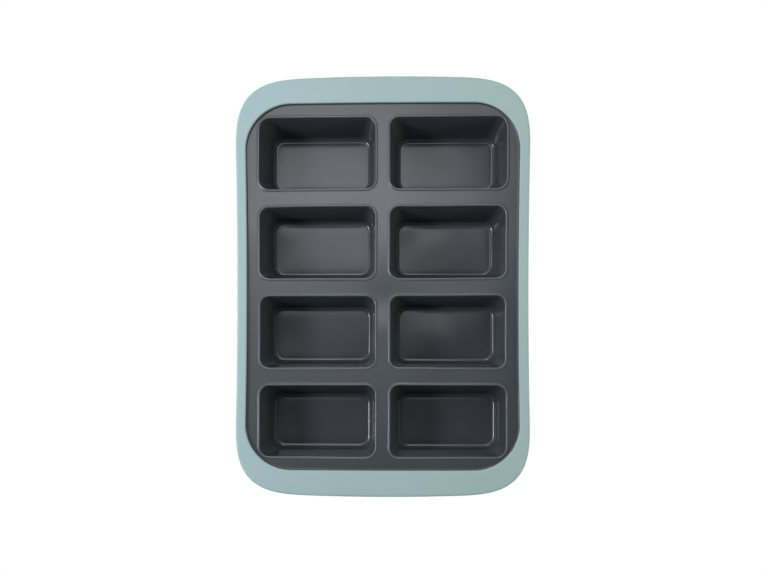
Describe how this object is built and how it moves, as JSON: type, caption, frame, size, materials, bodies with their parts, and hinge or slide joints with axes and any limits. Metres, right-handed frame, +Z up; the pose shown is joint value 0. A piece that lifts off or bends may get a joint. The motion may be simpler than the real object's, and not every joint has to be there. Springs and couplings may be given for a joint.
{
  "type": "silicone mini loaf pan",
  "caption": "Rectangular silicone baking pan with a grid of tapered mini loaf cups and a wire-stiffened rim whose wide ends serve as grips.",
  "frame": {"origin": "middle of the pan, on the surface that the cups' floors stand on", "axes": "+Z up out of the cups' mouths, +Y along the pan's length towards one wide end of the rim, +X across the pan, along the cups"},
  "size_m": [0.2494, 0.3556, 0.0396],
  "materials": {
    "mint_silicone": "fine matt silicone, mint green",
    "charcoal_silicone": "smooth satin silicone, dark grey",
    "wire_steel": "drawn spring steel wire"
  },
  "bodies": {
    "root": {"rim_overmould": "mint_silicone", "steel_wire_ring": "wire_steel", "deck": "charcoal_silicone", "loaf_cup_row1_column1": "charcoal_silicone", "loaf_cup_row1_column2": "charcoal_silicone", "loaf_cup_row2_column1": "charcoal_silicone", "loaf_cup_row2_column2": "charcoal_silicone", "loaf_cup_row3_column1": "charcoal_silicone", "loaf_cup_row3_column2": "charcoal_silicone", "loaf_cup_row4_column1": "charcoal_silicone", "loaf_cup_row4_column2": "charcoal_silicone"}
  },
  "joints": []
}
